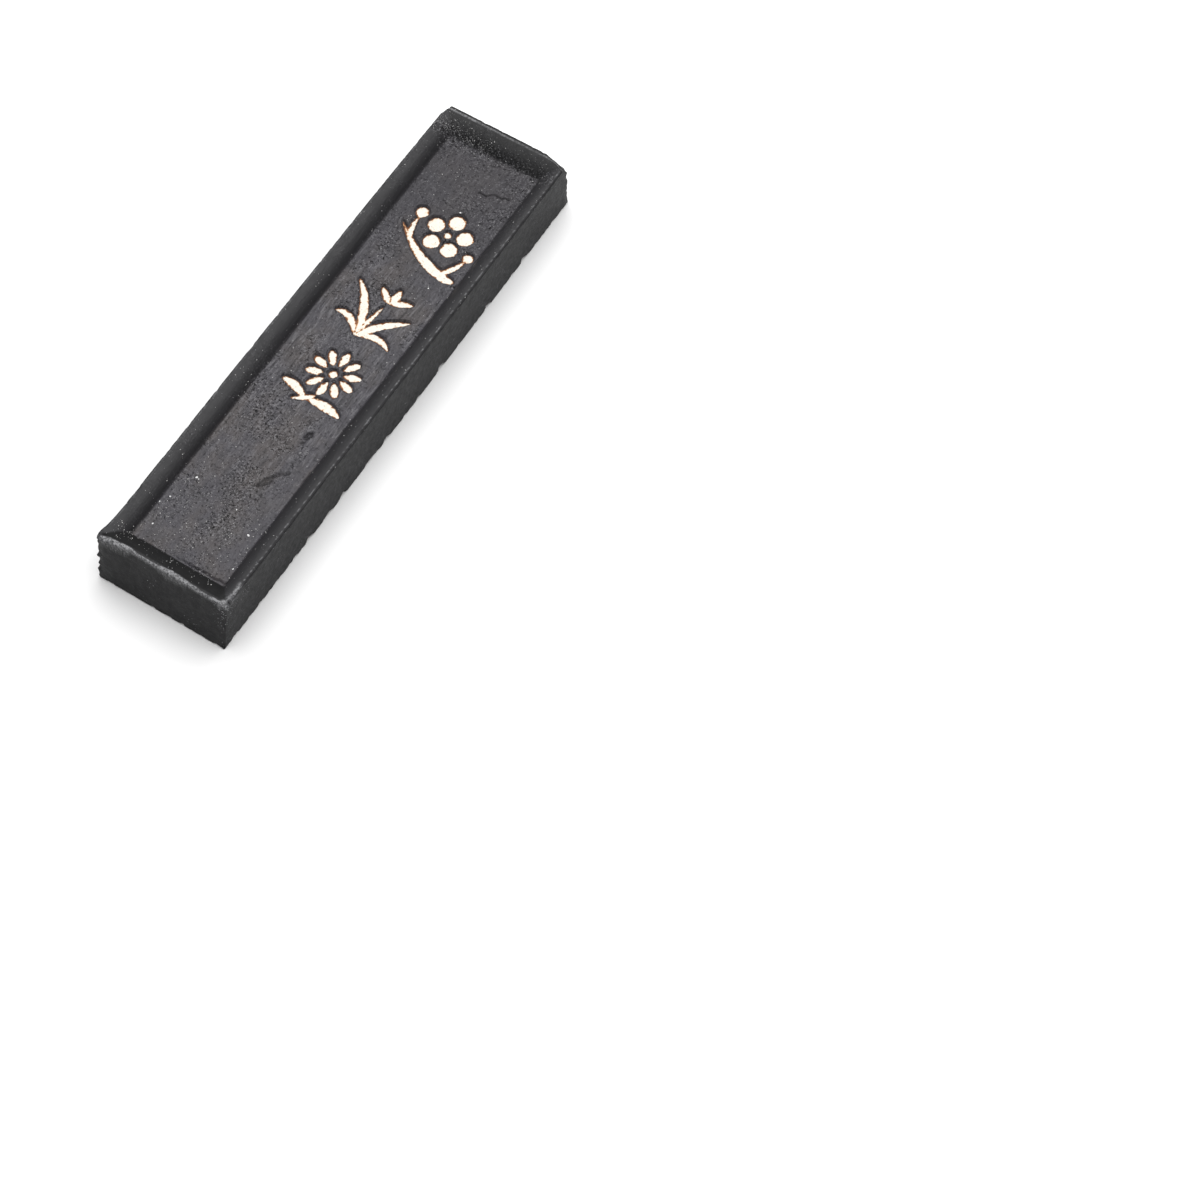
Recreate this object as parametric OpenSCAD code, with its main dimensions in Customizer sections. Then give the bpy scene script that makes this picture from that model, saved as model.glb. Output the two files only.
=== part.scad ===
// Moulded ink stick with a raised border, a sunken panel and three gilded ornaments.
// The stick lies on its back. X runs across it, Y along it towards the top of the
// ornaments, and Z up. The origin is the centre of the underside. Millimetres.

/* [Cake] */
// Length of the stick, from end to end
cake_l = 93; // [84:1:110]
// Width of the stick
cake_w = 22.4; // [21:0.1:28]
// Thickness at the rim
cake_h = 10.5; // [7:0.5:14]
// Radius of the four upright corners
corner_r = 0.6; // [0.3:0.1:1.2]
// Height and depth of the chamfer round the underside
foot_chamfer = 0.4; // [0.2:0.1:0.8]

/* [Border] */
// Flat rim left along the outer edges
rim_w = 0.35; // [0.2:0.05:0.5]
// Border width along the two sides, from outer face to panel
side_border = 3.2; // [2.7:0.1:3.4]
// Border width along the two ends, from outer face to panel
end_border = 4.2; // [2.7:0.1:4.8]
// Depth of the panel below the rim
panel_depth = 2; // [1:0.1:2.2]

/* [Gilding] */
// Depth of the moulded recesses below the panel
recess_depth = 0.5; // [0.3:0.05:0.9]
// Thickness of the dried gold on the recess floors
gilt_t = 0.15; // [0.08:0.01:0.2]
// Bare margin between the gold and the recess walls
gilt_margin = 0.06; // [0.03:0.01:0.1]
// Centre of the plum spray above the stick's middle
plum_y = 25; // [22:0.1:26]
// Centre of the orchid above the stick's middle
orchid_y = 9.3; // [8:0.1:11]
// Centre of the chrysanthemum above the stick's middle
mum_y = -4.2; // [-7:0.1:-4]
// Petals of the chrysanthemum
mum_petals = 10; // [7:1:11]

/* [Hidden] */
$fn = 96;

ink = [0.16, 0.16, 0.17];
gold = [0.96, 0.87, 0.68];

panel_z = cake_h - panel_depth;
floor_z = panel_z - recess_depth;
stroke_steps = 14;

// Each ornament's place on the panel
plum_at = [0.6, plum_y];
orchid_at = [0.25, orchid_y];
mum_at = [0.4, mum_y];

plum_flower = [1.1, 1.7];
plum_petal_r = 1.48;
plum_petal_out = 2.65;
plum_heart_r = 0.75;
orchid_root = [-0.5, -5];
orchid_flower = [0.9, 2.6];
mum_flower = [0.6, 1.2];
mum_heart_r = 0.85;
mum_petal_in = 1.4;
mum_petal_out = 4.2;
mum_petal_w = 1.6;

// A brush stroke is [start, bend, end, greatest width, fullness of the head].
// Fullness 1 swells evenly about the middle, and a smaller value swells near the start.
plum_twigs = [
  [[6.3, -5.2], [0.6, -5.4], [-6.3, 0.6], 1.9, 0.6],
  [[3.4, -4.9], [5.2, -3.6], [5.9, -0.4], 1.3, 0.8],
  [[-3, -2.4], [-4.9, -0.2], [-4.4, 2.8], 1.2, 0.8]
];
plum_buds = [[5.9, -0.3, 1], [-4.5, 3.3, 1.15]];
orchid_leaves = [
  [orchid_root, [-1.2, 0.8], [-5.6, 4.2], 1.7, 0.9],
  [orchid_root, [1.4, -1.4], [5.7, 1.2], 1.7, 0.9],
  [orchid_root, [-3, -1.2], [-5.5, -2.6], 1.5, 1],
  [orchid_root, [2.6, -2.6], [5.4, -4.8], 1.5, 1],
  [orchid_root, [-0.2, -1.5], orchid_flower - [0.4, 0.9], 1.1, 1]
];
orchid_petals = [
  [orchid_flower, orchid_flower + [-1.2, 0.8], orchid_flower + [-2.6, 2.1], 1.5, 1],
  [orchid_flower, orchid_flower + [0.3, 1.4], orchid_flower + [0.2, 2.9], 1.6, 1],
  [orchid_flower, orchid_flower + [1.5, 0.9], orchid_flower + [3.3, 1.5], 1.5, 1]
];
mum_stems = [
  [[0.4, -3.2], [-0.4, -4.4], [-2.6, -5.5], 1.3, 0.9],
  [[-0.4, -4.5], [2.4, -3.6], [5.6, -4.9], 1.9, 1.1],
  [[-0.6, -4.6], [-3, -2.9], [-5.6, -3.1], 1.8, 1.1]
];

// Point and direction on the arc of a stroke
function at(s, t) = (1 - t) * (1 - t) * s[0] + 2 * t * (1 - t) * s[1] + t * t * s[2];
function along(s, t) = 2 * (1 - t) * (s[1] - s[0]) + 2 * t * (s[2] - s[1]);
function left_of(v) = [-v.y, v.x] / norm(v);
// Half the width of a stroke, nought at both tips
function half(s, t) = s[3] / 2 * sqrt(sin(180 * pow(t, s[4])));

// Outline of one stroke, drawn in by inset all round
module stroke(s, inset = 0) {
  tip = inset / norm(s[2] - s[0]) * 2 + 0.002;
  ts = [for (i = [0:stroke_steps]) tip + (1 - 2 * tip) * (1 - cos(180 * i / stroke_steps)) / 2];
  widths = [for (t = ts) max(half(s, t) - inset, 0.03)];
  one_side = [for (i = [0:stroke_steps]) at(s, ts[i]) + widths[i] * left_of(along(s, ts[i]))];
  other_side = [for (i = [stroke_steps:-1:0]) at(s, ts[i]) - widths[i] * left_of(along(s, ts[i]))];
  polygon(concat(one_side, other_side));
}

module dot(place, r, inset = 0) {
  translate(place) circle(r = r - inset);
}

// Outlines of the ornaments, each about its own centre
module plum_petal_shape(inset = 0) {
  for (i = [0:4])
    dot(plum_flower + plum_petal_out * [sin(72 * i), cos(72 * i)], plum_petal_r, inset);
}

module plum_heart_shape(inset = 0) {
  dot(plum_flower, plum_heart_r, inset);
}

module plum_twig_shape(inset = 0) {
  for (s = plum_twigs) stroke(s, inset);
  for (b = plum_buds) dot([b.x, b.y], b.z, inset);
}

module orchid_leaf_shape(inset = 0) {
  for (s = orchid_leaves) stroke(s, inset);
}

module orchid_flower_shape(inset = 0) {
  for (s = orchid_petals) stroke(s, inset);
}

module mum_petal_shape(inset = 0) {
  for (i = [0:mum_petals - 1]) {
    way = [sin(360 * i / mum_petals), cos(360 * i / mum_petals)];
    inner = mum_flower + mum_petal_in * way;
    outer = mum_flower + mum_petal_out * way;
    stroke([inner, (inner + outer) / 2, outer, mum_petal_w, 1.3], inset);
  }
}

module mum_heart_shape(inset = 0) {
  dot(mum_flower, mum_heart_r, inset);
}

module mum_stem_shape(inset = 0) {
  for (s = mum_stems) stroke(s, inset);
}

// Gold lying on the floor of a recess
module film(place) {
  color(gold)
    translate([place.x, place.y, floor_z])
      linear_extrude(gilt_t) children();
}

// Tool that moulds a recess into the panel
module recess(place) {
  translate([place.x, place.y, floor_z])
    linear_extrude(recess_depth + 1) children();
}

// Rectangle with round corners, centred
module rounded_plate(w, l, r) {
  square([w - 2 * r, l], center = true);
  square([w, l - 2 * r], center = true);
  for (sx = [-1, 1], sy = [-1, 1])
    translate([sx * (w / 2 - r), sy * (l / 2 - r)]) circle(r = r);
}

// The space above a rolled border: flat over the panel, and curving up to the rim
module hollow_profile(span, border) {
  run = border - rim_w;
  roll_r = (run * run + panel_depth * panel_depth) / (2 * panel_depth);
  reach = span / 2 - rim_w;
  difference() {
    translate([-reach, -panel_depth]) square([2 * reach, panel_depth + 1]);
    for (side = [-1, 1])
      translate([side * reach, -roll_r]) circle(r = roll_r, $fn = 180);
  }
}

// Where the two hollows cross, the border mitres at each corner
module panel_hollow() {
  translate([0, 0, cake_h]) intersection() {
    rotate([90, 0, 0])
      linear_extrude(cake_l + 2, center = true) hollow_profile(cake_w, side_border);
    rotate([90, 0, 90])
      linear_extrude(cake_w + 2, center = true) hollow_profile(cake_l, end_border);
  }
}

// Sheds the sharp edge round the underside
module foot_cut() {
  for (side = [-1, 1]) {
    translate([side * cake_w / 2, 0, 0]) rotate([0, 45, 0])
      cube([foot_chamfer * sqrt(2), cake_l + 2, foot_chamfer * sqrt(2)], center = true);
    translate([0, side * cake_l / 2, 0]) rotate([45, 0, 0])
      cube([cake_w + 2, foot_chamfer * sqrt(2), foot_chamfer * sqrt(2)], center = true);
  }
}

module ink_cake() {
  color(ink) difference() {
    linear_extrude(cake_h) rounded_plate(cake_w, cake_l, corner_r);
    foot_cut();
    panel_hollow();
    recess(plum_at) plum_petal_shape();
    recess(plum_at) plum_heart_shape();
    recess(plum_at) plum_twig_shape();
    recess(orchid_at) orchid_leaf_shape();
    recess(orchid_at) orchid_flower_shape();
    recess(mum_at) mum_petal_shape();
    recess(mum_at) mum_heart_shape();
    recess(mum_at) mum_stem_shape();
  }
}

module plum_petal_gilding() { film(plum_at) plum_petal_shape(gilt_margin); }
module plum_heart_gilding() { film(plum_at) plum_heart_shape(gilt_margin); }
module plum_twig_gilding() { film(plum_at) plum_twig_shape(gilt_margin); }
module orchid_leaf_gilding() { film(orchid_at) orchid_leaf_shape(gilt_margin); }
module orchid_flower_gilding() { film(orchid_at) orchid_flower_shape(gilt_margin); }
module chrysanthemum_petal_gilding() { film(mum_at) mum_petal_shape(gilt_margin); }
module chrysanthemum_heart_gilding() { film(mum_at) mum_heart_shape(gilt_margin); }
module chrysanthemum_stem_gilding() { film(mum_at) mum_stem_shape(gilt_margin); }

ink_cake();
plum_petal_gilding();
plum_heart_gilding();
plum_twig_gilding();
orchid_leaf_gilding();
orchid_flower_gilding();
chrysanthemum_petal_gilding();
chrysanthemum_heart_gilding();
chrysanthemum_stem_gilding();
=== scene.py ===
# Ink stick: a pressed cake of soot and glue with three gilded ornaments in moulded recesses.
import math

import bpy
import numpy as np
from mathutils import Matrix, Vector, noise


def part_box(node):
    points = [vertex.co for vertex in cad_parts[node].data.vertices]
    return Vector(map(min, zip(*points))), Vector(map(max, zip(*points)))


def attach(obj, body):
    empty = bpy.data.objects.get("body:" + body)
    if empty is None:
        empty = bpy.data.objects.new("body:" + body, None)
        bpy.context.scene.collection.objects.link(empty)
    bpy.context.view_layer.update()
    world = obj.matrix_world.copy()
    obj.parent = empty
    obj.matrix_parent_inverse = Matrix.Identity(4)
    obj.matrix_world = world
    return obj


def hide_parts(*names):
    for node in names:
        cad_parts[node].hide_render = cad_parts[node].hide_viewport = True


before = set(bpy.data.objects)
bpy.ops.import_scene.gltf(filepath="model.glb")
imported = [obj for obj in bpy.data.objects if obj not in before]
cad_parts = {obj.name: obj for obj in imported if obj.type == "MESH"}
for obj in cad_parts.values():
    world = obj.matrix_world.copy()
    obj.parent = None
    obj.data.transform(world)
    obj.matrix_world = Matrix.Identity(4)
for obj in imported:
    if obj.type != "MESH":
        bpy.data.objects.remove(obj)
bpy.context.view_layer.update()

mm = 0.001


# Small tools.

sums = {"+": "ADD", "-": "SUBTRACT", "*": "MULTIPLY", "/": "DIVIDE"}


def nodeTools(tree):
    # add() makes a node, feeds its inputs in order or by name, and returns it; calc() is a sum,
    # and adds or multiplies any number of terms
    def feed(socket, value):
        if isinstance(value, bpy.types.NodeSocket):
            tree.links.new(value, socket)
        elif value is not None:
            socket.default_value = value

    def add(kind, *inputs, named=None, **settings):
        node = tree.nodes.new(kind)
        for key, value in settings.items():
            setattr(node, key, value)
        for socket, value in zip(node.inputs, inputs):
            feed(socket, value)
        for name, value in (named or {}).items():
            feed(node.inputs[name], value)
        return node

    def calc(operation, *inputs):
        while operation in "+*" and len(inputs) > 2:
            inputs = (calc(operation, *inputs[:2]), *inputs[2:])
        return add("ShaderNodeMath", *inputs, operation=sums.get(operation, operation)).outputs[0]

    return add, calc


def newGeometryTree(name, inputs):
    # inputs: each name with a value of its kind; the geometry goes in first and comes out last
    tree = bpy.data.node_groups.new(name, "GeometryNodeTree")
    face = tree.interface
    face.new_socket(name="Geometry", in_out="INPUT", socket_type="NodeSocketGeometry")
    face.new_socket(name="Geometry", in_out="OUTPUT", socket_type="NodeSocketGeometry")
    for key, value in inputs.items():
        kind = "NodeSocketInt" if isinstance(value, int) else "NodeSocketFloat"
        if isinstance(value, bpy.types.Material):
            kind = "NodeSocketMaterial"
        face.new_socket(name=key, in_out="INPUT", socket_type=kind)
    return tree


def runTree(obj, tree, values):
    # sets each input by its identifier, then turns the result into a plain mesh
    modifier = obj.modifiers.new(tree.name, "NODES")
    modifier.node_group = tree
    for item in tree.interface.items_tree:
        if item.in_out == "INPUT" and item.name in values:
            modifier[item.identifier] = values[item.name]
    view = bpy.context.evaluated_depsgraph_get()
    mesh = bpy.data.meshes.new_from_object(obj.evaluated_get(view))
    obj.modifiers.clear()
    obj.data = mesh


def newObject(name, data):
    obj = bpy.data.objects.new(name, data)
    bpy.context.scene.collection.objects.link(obj)
    return obj


def newPiece(name, verts, faces):
    mesh = bpy.data.meshes.new(name)
    mesh.from_pydata([tuple(v) for v in verts], [], faces)
    mesh.validate()
    return newObject(name, mesh)


def readPoints(obj):
    flat = np.zeros(len(obj.data.vertices) * 3)
    obj.data.vertices.foreach_get("co", flat)
    return flat.reshape(-1, 3)


def writePoints(obj, points):
    obj.data.vertices.foreach_set("co", np.asarray(points, float).ravel())
    obj.data.update()


def paint(obj, name, values):
    # a number at each vertex, for a material or a tree to read
    layer = obj.data.attributes.new(name, "FLOAT", "POINT")
    layer.data.foreach_set("value", np.asarray(values, np.float32))


def rough(points, size, seed):
    # smooth noise about nought at each point, with features of that size
    shift = seed * 17.3
    return np.array([noise.noise(Vector((p[0] / size + shift, p[1] / size, p[2] / size)))
                     for p in points])


def hump(along, across=0.0):
    # one in the middle, dying away over about twice the unit
    return np.exp(-(along ** 2 + across ** 2))


def smoothStep(value, start, stop):
    t = np.clip((value - start) / (stop - start), 0, 1)
    return t * t * (3 - 2 * t)


# The cake: its form follows a rule, so a node tree moulds it from a plain block.

low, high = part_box("ink_cake")
cake = {
    "width": (high.x - low.x) / mm,
    "length": (high.y - low.y) / mm,
    "height": (high.z - low.z) / mm,
    "rim": 0.35,          # ridge left along the outer edges
    "sideBorder": 3.2,
    "endBorder": 4.2,
    "panelDepth": 2.0,
    "crispFoot": 0.15,    # fillet where a border meets the panel
    "softFoot": 1.1,      # and how much more of it the far border has
    "cornerRadius": 0.3,
    "edgeRadius": 0.32,   # rounding of the rim's outer edge
    "footChamfer": 0.2,
    "nearDraft": 1.35,    # how far each face leans in from foot to rim
    "farDraft": 0.5,
    "leftDraft": 0.2,
    "rightDraft": -0.35,  # this one leans in from rim to foot
    "skew": 0.6,          # how far the near end is out of square
    "taper": 0.3,         # how much narrower each side is at the far end
    "endReach": 9.0,      # how far in from an end or a side its lean is felt on top
    "sideReach": 5.0,
    "edgeReach": 0.8,     # how far wear reaches in from an edge
    "edgeWear": 0.16,     # how much the most worn stretches of rim have lost
    "footWear": 0.3,
    "warp": 0.1,          # hand-made unevenness over the whole length
    "skin": 0.03,         # fine unevenness of every face
    "inset": 0.03,        # keeps the uneven skin inside the true size
    "seed": 4.0,
}


def gridLines(span, near, usual, fine=1.0, fineFrom=0.0, fineTo=0.0):
    # steps are small next to the two edges and in the ornamented stretch
    lines = [-span / 2]
    while lines[-1] < span / 2:
        here = lines[-1]
        toEdge = span / 2 - abs(here)
        step = near if toEdge < 1.0 else usual
        if fineFrom < here < fineTo:
            step = min(step, fine)
        lines.append(here + step)
    lines = np.array(lines)
    return -span / 2 + (lines - lines[0]) * span / (lines[-1] - lines[0])


grid = {
    "nearEdge": 0.12,     # steps of the mesh, in mm
    "across": 0.19,
    "along": 0.21,
    "ornaments": (0.165, -12.0, 38.0),       # step, from and to
    "rimRows": [0.06, 0.14, 0.24, 0.36, 0.55],        # below the rim
    "wallRows": (0.9, 0.6, 14),              # below the rim, above the foot, how many
    "footRows": [0.35, 0.2, 0.08, 0.0],
    "stride": 6,          # cells of the top to one of the underside
}


def blockMesh():
    # a closed block: a fine grid on top, finer rows near the edges of the sides, and a coarse
    # underside whose outer cells take in every edge point
    stride = grid["stride"]
    xs, ys = (np.interp(np.linspace(0, 1, (len(lines) // stride) * stride + 1),
                        np.linspace(0, 1, len(lines)), lines)
              for lines in (gridLines(cake["width"], grid["nearEdge"], grid["across"]),
                            gridLines(cake["length"], grid["nearEdge"], grid["along"], *grid["ornaments"])))
    nx, ny = len(xs), len(ys)
    height = cake["height"]
    verts = [(x, y, height) for y in ys for x in xs]
    faces = [(j * nx + i, j * nx + i + 1, (j + 1) * nx + i + 1, (j + 1) * nx + i)
             for j in range(ny - 1) for i in range(nx - 1)]
    edge = [(i, 0) for i in range(nx - 1)] + [(nx - 1, j) for j in range(ny - 1)]
    edge += [(i, ny - 1) for i in range(nx - 1, 0, -1)] + [(0, j) for j in range(ny - 1, 0, -1)]
    ring = [j * nx + i for i, j in edge]
    highRow, lowRow, rows = grid["wallRows"]
    levels = [height - below for below in grid["rimRows"]]
    levels += list(np.linspace(height - highRow, lowRow, rows)) + grid["footRows"]
    for z in levels:
        start = len(verts)
        verts += [(xs[i], ys[j], z) for i, j in edge]
        below = list(range(start, start + len(edge)))
        for k in range(len(edge)):
            after = (k + 1) % len(edge)
            faces.append((ring[k], below[k], below[after], ring[after]))
        ring = below
    foot = {place: ring[k] for k, place in enumerate(edge)}
    for j in range(stride, ny - 1, stride):
        for i in range(stride, nx - 1, stride):
            foot[(i, j)] = len(verts)
            verts.append((xs[i], ys[j], 0.0))
    for j in range(0, ny - 1, stride):
        for i in range(0, nx - 1, stride):
            around = [(i, j + k) for k in range(stride)] + [(i + k, j + stride) for k in range(stride)]
            around += [(i + stride, j + stride - k) for k in range(stride)]
            around += [(i + stride - k, j) for k in range(stride)]
            faces.append(tuple(foot[place] for place in around if place in foot))
    return verts, faces


def rollGroup():
    # how far a border has rolled down from the rim, at a distance in from the outer face
    tree = bpy.data.node_groups.new("rolledBorder", "GeometryNodeTree")
    for key in ("Distance", "Rim", "Border", "Depth", "Foot"):
        tree.interface.new_socket(name=key, in_out="INPUT", socket_type="NodeSocketFloat")
    tree.interface.new_socket(name="Drop", in_out="OUTPUT", socket_type="NodeSocketFloat")
    add, calc = nodeTools(tree)
    given = add("NodeGroupInput").outputs
    run = calc("-", given["Border"], given["Rim"])
    radius = calc("/", calc("+", calc("POWER", run, 2.0), calc("POWER", given["Depth"], 2.0)),
                  calc("*", given["Depth"], 2.0))
    inward = calc("MINIMUM", calc("MAXIMUM", calc("-", given["Distance"], given["Rim"]), 0.0), run)
    level = calc("SQRT", calc("-", calc("POWER", radius, 2.0), calc("POWER", inward, 2.0)))
    beyond = calc("MAXIMUM", calc("-", given["Distance"], given["Border"]), 0.0)
    rolled = calc("+", calc("-", radius, level), beyond)
    add("NodeGroupOutput", calc("SMOOTH_MIN", rolled, given["Depth"], given["Foot"]))
    return tree


def cakeTree():
    tree = newGeometryTree("cakeForm", {name: 0.0 for name in cake})
    add, calc = nodeTools(tree)
    given = add("NodeGroupInput").outputs
    x, y, z = add("ShaderNodeSeparateXYZ", add("GeometryNodeInputPosition").outputs[0]).outputs

    def smoothNoise(size, amount, channel=0, detail=2.0):
        # noise about nought, in millimetres
        texture = add("ShaderNodeTexNoise", noise_dimensions="4D",
                      named={"W": calc("+", given["seed"], channel * 3.7),
                             "Scale": 1.0 / size, "Detail": detail, "Roughness": 0.55})
        return calc("*", calc("-", texture.outputs[0], 0.5), 2.0, amount)

    def near(distance, reach):
        # one at an edge, nought at its reach
        return calc("MAXIMUM", calc("-", 1.0, calc("/", distance, reach)), 0.0)

    halfWidth = calc("/", given["width"], 2.0)
    halfLength = calc("/", given["length"], 2.0)
    fromSide = calc("-", halfWidth, calc("ABSOLUTE", x))
    fromEnd = calc("-", halfLength, calc("ABSOLUTE", y))
    fromTop = calc("-", given["height"], z)
    isTop = calc("LESS_THAN", fromTop, 0.001)

    # the four upright corners are drawn in to a radius
    overX, overY = [calc("MAXIMUM", calc("-", given["cornerRadius"], distance), 0.0)
                    for distance in (fromSide, fromEnd)]
    reach = calc("SQRT", calc("+", calc("POWER", overX, 2.0), calc("POWER", overY, 2.0)))
    squeeze = calc("/", calc("MAXIMUM", overX, overY), calc("MAXIMUM", reach, 0.0001))
    cornerX, cornerY = [calc("-", over, calc("*", over, squeeze)) for over in (overX, overY)]

    # the top: the higher of the two rolled borders, which mitres the corners
    roll = rollGroup()

    def drop(distance, border, foot, wobbleSize, channel):
        wobbly = calc("+", distance, smoothNoise(wobbleSize, 0.16, channel))
        return add("GeometryNodeGroup", node_tree=roll,
                   named={"Distance": wobbly, "Rim": given["rim"], "Border": border,
                          "Depth": given["panelDepth"], "Foot": foot}).outputs[0]

    dropSide = drop(fromSide, given["sideBorder"], given["crispFoot"], 9.0, 1)
    farFoot = calc("*", given["softFoot"], calc("GREATER_THAN", y, 0.0))
    dropEnd = drop(fromEnd, given["endBorder"], calc("+", given["crispFoot"], farFoot), 7.0, 2)
    fall = calc("*", isTop, calc("SMOOTH_MIN", dropSide, dropEnd, 0.1))

    # the rim's outer edge is rounded over on both of its faces
    def rounded(distance):
        lack = calc("MAXIMUM", calc("-", given["edgeRadius"], distance), 0.0)
        across = calc("-", calc("POWER", given["edgeRadius"], 2.0), calc("POWER", lack, 2.0))
        return calc("-", given["edgeRadius"], calc("SQRT", across))

    edgeDown = calc("*", isTop, calc("MAXIMUM", rounded(fromSide), rounded(fromEnd)))
    edgeIn = calc("*", rounded(fromTop), calc("-", 1.0, isTop))

    # wear takes most where two faces meet
    nearSide, nearEnd, nearTop, nearFoot = [near(distance, given["edgeReach"])
                                            for distance in (fromSide, fromEnd, fromTop, z)]
    upright = calc("*", nearSide, nearEnd)
    outer = calc("MAXIMUM", nearSide, nearEnd)
    bites = calc("MAXIMUM", smoothNoise(1.5, 1.6, 3, 3.0), 0.0)
    rimLoss = calc("*", calc("+", calc("*", outer, nearTop), upright), bites, given["edgeWear"])
    footLoss = calc("*", outer, nearFoot, bites, given["footWear"])
    loss = calc("+", rimLoss, footLoss)
    chamfer = calc("MAXIMUM", calc("-", given["footChamfer"], z), 0.0)
    pull = calc("+", chamfer, loss, given["inset"], edgeIn)
    onSide, onEnd = [calc("MAXIMUM", calc("LESS_THAN", distance, 0.001), calc("*", closeness, isTop))
                     for distance, closeness in ((fromSide, nearSide), (fromEnd, nearEnd))]
    inX = calc("+", calc("*", pull, onSide), cornerX)
    inY = calc("+", calc("*", pull, onEnd), cornerY)

    # the faces lean: each takes its own draft from foot to rim, felt a little way in on top
    rise = calc("/", z, given["height"])
    isNear = calc("LESS_THAN", y, 0.0)
    isLeft = calc("LESS_THAN", x, 0.0)
    skew = calc("*", given["skew"], calc("-", 0.5, calc("/", x, given["width"])))
    nearLean = calc("+", calc("*", given["nearDraft"], rise), skew)
    farLean = calc("*", given["farDraft"], rise)
    endLean = add("ShaderNodeMix", isNear, named={"A": farLean, "B": nearLean}).outputs[0]
    leftLean = calc("*", given["leftDraft"], rise)
    rightLean = calc("*", given["rightDraft"], calc("-", rise, 1.0))
    sideLean = add("ShaderNodeMix", isLeft, named={"A": rightLean, "B": leftLean}).outputs[0]
    taper = calc("*", given["taper"], calc("MAXIMUM", calc("/", y, halfLength), 0.0))
    inX = calc("+", inX, calc("*", calc("+", sideLean, taper), near(fromSide, given["sideReach"])))
    inY = calc("+", inY, calc("*", endLean, near(fromEnd, given["endReach"])))

    # unevenness: a slow warp of the whole cake and a fine skin on every face
    warp = given["warp"]
    gentleX = calc("*", warp, calc("/", x, halfWidth))
    newX = calc("+", x, calc("*", inX, calc("-", 0.0, calc("SIGN", x))),
                calc("*", smoothNoise(26.0, 1.0, 5, 1.0), gentleX),
                smoothNoise(0.9, given["skin"], 6, 3.0))
    newY = calc("+", y, calc("*", inY, calc("-", 0.0, calc("SIGN", y))),
                smoothNoise(14.0, calc("*", warp, near(fromEnd, given["endReach"])), 7, 1.0),
                smoothNoise(0.9, given["skin"], 8, 3.0))
    lowering = calc("+", fall, edgeDown, calc("*", loss, calc("-", nearTop, nearFoot)),
                    calc("*", isTop, given["inset"]))
    newZ = calc("+", calc("-", z, lowering),
                smoothNoise(11.0, calc("*", isTop, calc("*", warp, 0.6)), 9, 2.0),
                smoothNoise(0.7, calc("*", given["skin"], isTop), 10, 3.0))
    place = add("ShaderNodeCombineXYZ", newX, newY, newZ).outputs[0]
    moved = add("GeometryNodeSetPosition", given["Geometry"], named={"Position": place})
    add("NodeGroupOutput", moved.outputs[0])
    return tree


print("ink stick: moulding the cake")
verts, faces = blockMesh()
inkCake = newPiece("inkCake", verts, faces)
runTree(inkCake, cakeTree(), cake)
rest = np.array(verts)                       # where each point was on the plain block, in mm
points = readPoints(inkCake)                 # where it is on the moulded cake, in mm
onTop = rest[:, 2] > cake["height"] - 0.001
topFaces = sum(1 for face in faces if min(rest[list(face), 2]) > cake["height"] - 0.001)


# The ornaments: one outline rule carves the recess and spreads the gold in it.

# A brush stroke is (start, bend, end, greatest width, fullness); a dot is (x, y, radius).
# Both are in millimetres about the ornament's own centre.
plum = {
    "flower": (1.1, 1.7), "petals": 5, "petalOut": 2.65, "petalRadius": 1.48, "heart": 0.75,
    "twigs": [
        ((6.3, -5.2), (0.6, -5.4), (-6.3, 0.6), 1.9, 0.6),
        ((3.4, -4.9), (5.2, -3.6), (5.9, -0.4), 1.3, 0.8),
        ((-3.0, -2.4), (-4.9, -0.2), (-4.4, 2.8), 1.2, 0.8),
    ],
    "buds": [(5.9, -0.3, 1.0), (-4.5, 3.3, 1.15)],
}
orchid = {
    "root": (-0.5, -5.0), "flower": (0.9, 2.6),
    "leaves": [  # bend, end, width, fullness
        ((-1.2, 0.8), (-5.6, 4.2), 1.7, 0.9),
        ((1.4, -1.4), (5.7, 1.2), 1.7, 0.9),
        ((-3.0, -1.2), (-5.5, -2.6), 1.5, 1.0),
        ((2.6, -2.6), (5.4, -4.8), 1.5, 1.0),
        ((-0.2, -1.5), (0.5, 1.7), 1.1, 1.0),
    ],
    "petals": [  # bend and end from the flower, width
        ((-1.2, 0.8), (-2.6, 2.1), 1.5),
        ((0.3, 1.4), (0.2, 2.9), 1.6),
        ((1.5, 0.9), (3.3, 1.5), 1.5),
    ],
}
chrysanthemum = {
    "flower": (0.6, 1.2), "petals": 10, "petalIn": 1.4, "petalOut": 4.2, "petalWidth": 1.6,
    "petalFullness": 1.3, "heart": 0.85,
    "stems": [
        ((0.4, -3.2), (-0.4, -4.4), (-2.6, -5.5), 1.3, 0.9),
        ((-0.4, -4.5), (2.4, -3.6), (5.6, -4.9), 1.9, 1.1),
        ((-0.6, -4.6), (-3.0, -2.9), (-5.6, -3.1), 1.8, 1.1),
    ],
}


discsPerStroke = 72


def discsOf(strokes, dots):
    # each stroke becomes a run of discs along its bend, as a brush leaves them
    discs = [tuple(dot) for dot in dots]
    for start, bend, end, width, fullness in strokes:
        for t in np.linspace(0.004, 0.996, discsPerStroke):
            x, y = [(1 - t) ** 2 * a + 2 * t * (1 - t) * b + t * t * c
                    for a, b, c in zip(start, bend, end)]
            discs.append((x, y, width / 2 * math.sqrt(math.sin(math.pi * t ** fullness))))
    return np.array(discs)


def ringOf(centre, count, distance):
    turns = [2 * math.pi * k / count for k in range(count)]
    return [(centre[0] + distance * math.sin(a), centre[1] + distance * math.cos(a)) for a in turns]


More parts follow.
